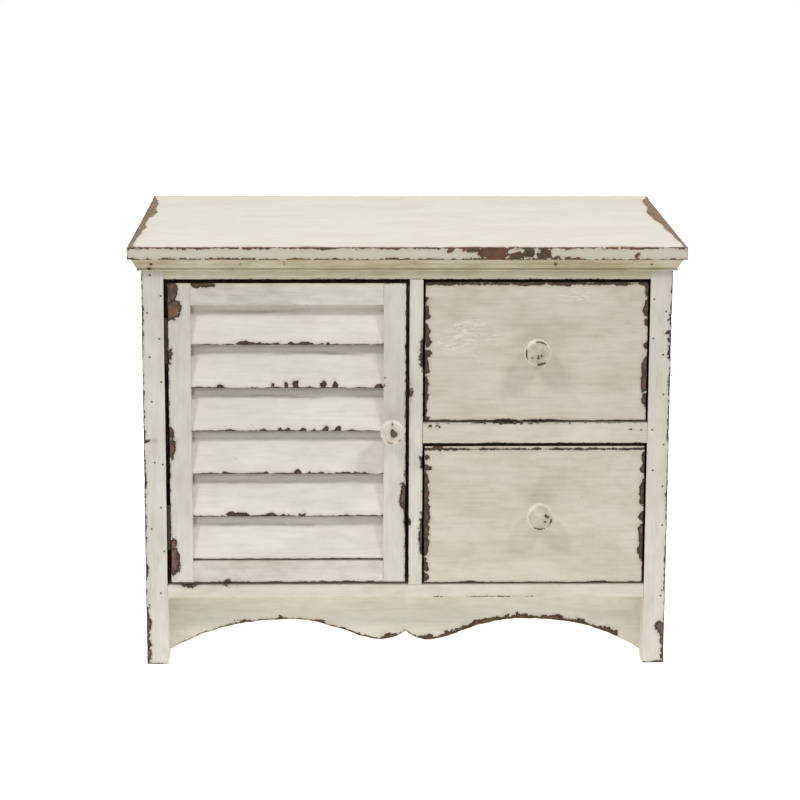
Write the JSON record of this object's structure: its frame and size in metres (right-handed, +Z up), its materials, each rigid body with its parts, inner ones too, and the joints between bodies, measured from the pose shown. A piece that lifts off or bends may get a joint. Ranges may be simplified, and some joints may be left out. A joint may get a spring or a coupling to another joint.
{
  "type": "mini drawer cabinet",
  "caption": "Small table-top cabinet with a hinged louvred door beside a stack of sliding drawers, under an overhanging top with a crown moulding and over a scalloped apron.",
  "frame": {"origin": "on the floor under the middle of the whole object's box, knobs included", "axes": "+X to the right seen from the front, +Y to the back, +Z up"},
  "size_m": [0.4, 0.2434, 0.315],
  "materials": {
    "painted_wood": "worn matt cream paint over brown wood, chipped along the edges",
    "painted_moulding": "worn matt cream paint over brown wood",
    "painted_knob": "turned wood with roughly brushed cream paint",
    "inner_board": "thin matt cream paint on wood, inside",
    "drawer_wood": "planed bare pale wood",
    "thin_sheet": "thin plywood sheet",
    "hinge_steel": "dark bronzed steel",
    "screw_steel": "zinc-plated steel screws",
    "magnet_steel": "plain steel",
    "catch_plastic": "brown moulded plastic"
  },
  "bodies": {
    "carcass": {"top_board": "painted_wood", "crown_front": "painted_moulding", "crown_left": "painted_moulding", "crown_right": "painted_moulding", "left_post": "painted_wood", "right_post": "painted_wood", "top_rail": "painted_wood", "bottom_rail": "painted_wood", "centre_stile": "painted_wood", "drawer_rail": "painted_wood", "apron": "painted_wood", "left_side": "painted_wood", "right_side": "painted_wood", "base_board": "inner_board", "partition": "inner_board", "drawer_shelf": "inner_board", "back_panel": "thin_sheet", "upper_drawer_guide": "inner_board", "lower_drawer_guide": "inner_board", "catch_body": "catch_plastic", "catch_magnet": "magnet_steel", "upper_hinge_frame_leaf": "hinge_steel", "lower_hinge_frame_leaf": "hinge_steel", "upper_hinge_pin": "hinge_steel", "lower_hinge_pin": "hinge_steel", "frame_hinge_screws": "screw_steel"},
    "door": {"door_hinge_stile": "painted_wood", "door_lock_stile": "painted_wood", "door_top_rail": "painted_wood", "door_bottom_rail": "painted_wood", "slat_1": "painted_wood", "slat_2": "painted_wood", "slat_3": "painted_wood", "slat_4": "painted_wood", "slat_5": "painted_wood", "slat_6": "painted_wood", "door_knob": "painted_knob", "door_knob_screw": "screw_steel", "strike_plate": "magnet_steel", "upper_hinge_door_leaf": "hinge_steel", "lower_hinge_door_leaf": "hinge_steel", "door_hinge_screws": "screw_steel"},
    "upper_drawer": {"upper_drawer_front": "painted_wood", "upper_drawer_left_side": "drawer_wood", "upper_drawer_right_side": "drawer_wood", "upper_drawer_back": "drawer_wood", "upper_drawer_bottom": "thin_sheet", "upper_drawer_knob": "painted_knob", "upper_drawer_knob_screw": "screw_steel"},
    "lower_drawer": {"lower_drawer_front": "painted_wood", "lower_drawer_left_side": "drawer_wood", "lower_drawer_right_side": "drawer_wood", "lower_drawer_back": "drawer_wood", "lower_drawer_bottom": "thin_sheet", "lower_drawer_knob": "painted_knob", "lower_drawer_knob_screw": "screw_steel"}
  },
  "joints": [
    {"name": "door_hinge", "type": "hinge", "parent": "carcass", "child": "door", "pos_m": [-0.17365, -0.1009, 0.17475], "axis": [0, 0, -1], "range_deg": [0, 100]},
    {"name": "upper_drawer_slide", "type": "slide", "parent": "carcass", "child": "upper_drawer", "axis": [0, -1, 0], "range_m": [0, 0.15]},
    {"name": "lower_drawer_slide", "type": "slide", "parent": "carcass", "child": "lower_drawer", "axis": [0, -1, 0], "range_m": [0, 0.15]}
  ]
}
